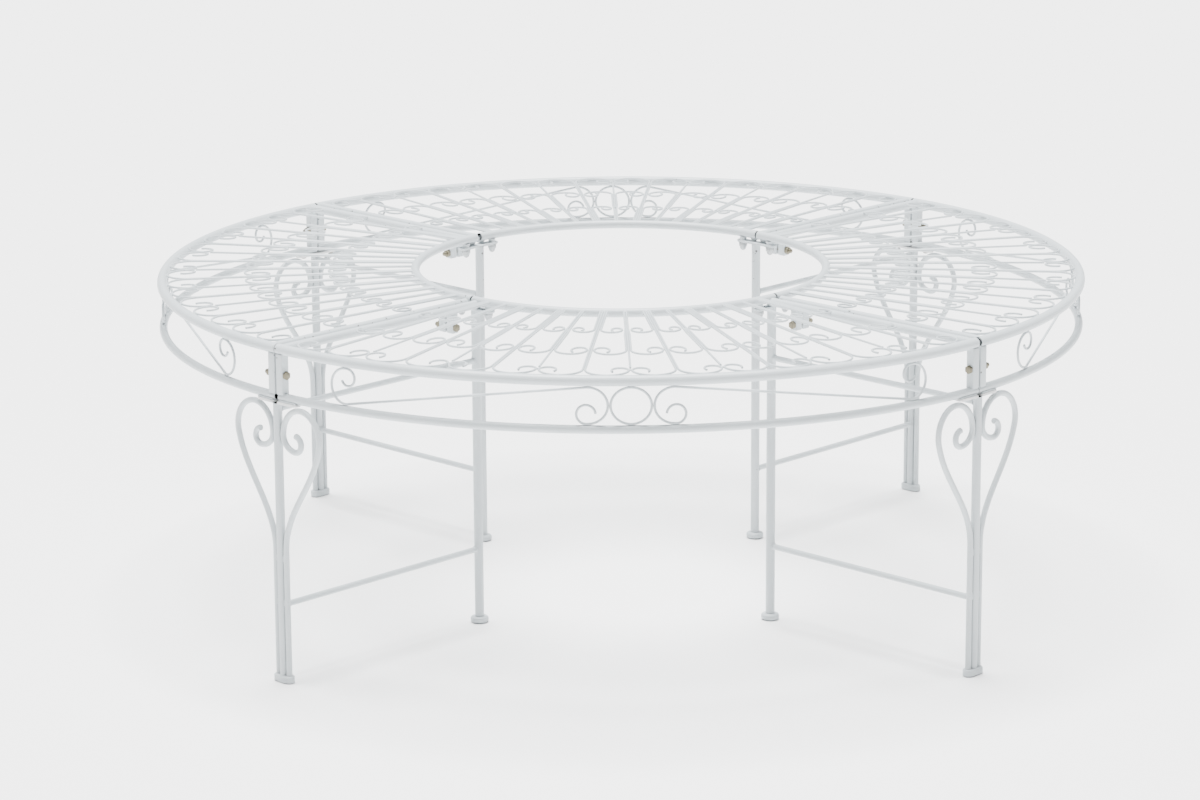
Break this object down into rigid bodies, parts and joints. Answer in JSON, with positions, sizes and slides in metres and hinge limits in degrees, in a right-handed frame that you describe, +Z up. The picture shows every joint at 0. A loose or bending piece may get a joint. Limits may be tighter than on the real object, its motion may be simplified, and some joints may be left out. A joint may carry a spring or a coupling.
{
  "type": "tree bench",
  "caption": "Round four-part garden bench that encircles a tree trunk: open seat of scrolled wire on heart-shaped wire legs.",
  "frame": {"origin": "on the ground, at the middle of the ring, where the tree stands", "axes": "+Z up; -Y towards the quarter that faces the viewer in the picture; +X to the viewer's right"},
  "size_m": [1.29, 1.29, 0.461],
  "materials": {
    "white_paint": "white outdoor paint on steel tube and wire, satin",
    "zinc": "zinc-plated bolts, nuts and screws, dulled",
    "nickel": "plated closed nuts, light grey"
  },
  "bodies": {
    "root": {"front_outer_rail": "white_paint", "front_inner_rail": "white_paint", "front_end_frames": "white_paint", "front_apron_rail": "white_paint", "front_apron_scrollwork": "white_paint", "front_outer_scrolls": "white_paint", "front_middle_scrolls": "white_paint", "front_inner_scrolls": "white_paint", "front_tie_wires": "white_paint", "right_outer_rail": "white_paint", "right_inner_rail": "white_paint", "right_end_frames": "white_paint", "right_apron_rail": "white_paint", "right_apron_scrollwork": "white_paint", "right_outer_scrolls": "white_paint", "right_middle_scrolls": "white_paint", "right_inner_scrolls": "white_paint", "right_tie_wires": "white_paint", "back_outer_rail": "white_paint", "back_inner_rail": "white_paint", "back_end_frames": "white_paint", "back_apron_rail": "white_paint", "back_apron_scrollwork": "white_paint", "back_outer_scrolls": "white_paint", "back_middle_scrolls": "white_paint", "back_inner_scrolls": "white_paint", "back_tie_wires": "white_paint", "left_outer_rail": "white_paint", "left_inner_rail": "white_paint", "left_end_frames": "white_paint", "left_apron_rail": "white_paint", "left_apron_scrollwork": "white_paint", "left_outer_scrolls": "white_paint", "left_middle_scrolls": "white_paint", "left_inner_scrolls": "white_paint", "left_tie_wires": "white_paint", "front_left_outer_leg": "white_paint", "front_left_heart_scrolls": "white_paint", "front_left_inner_leg": "white_paint", "front_left_cross_bars": "white_paint", "front_right_outer_leg": "white_paint", "front_right_heart_scrolls": "white_paint", "front_right_inner_leg": "white_paint", "front_right_cross_bars": "white_paint", "back_right_outer_leg": "white_paint", "back_right_heart_scrolls": "white_paint", "back_right_inner_leg": "white_paint", "back_right_cross_bars": "white_paint", "back_left_outer_leg": "white_paint", "back_left_heart_scrolls": "white_paint", "back_left_inner_leg": "white_paint", "back_left_cross_bars": "white_paint", "outer_feet": "white_paint", "inner_feet": "white_paint", "weld_studs": "white_paint", "joint_bolts": "zinc", "joint_nuts": "zinc", "leg_plate_screws": "zinc", "dome_nuts": "nickel"}
  },
  "joints": []
}
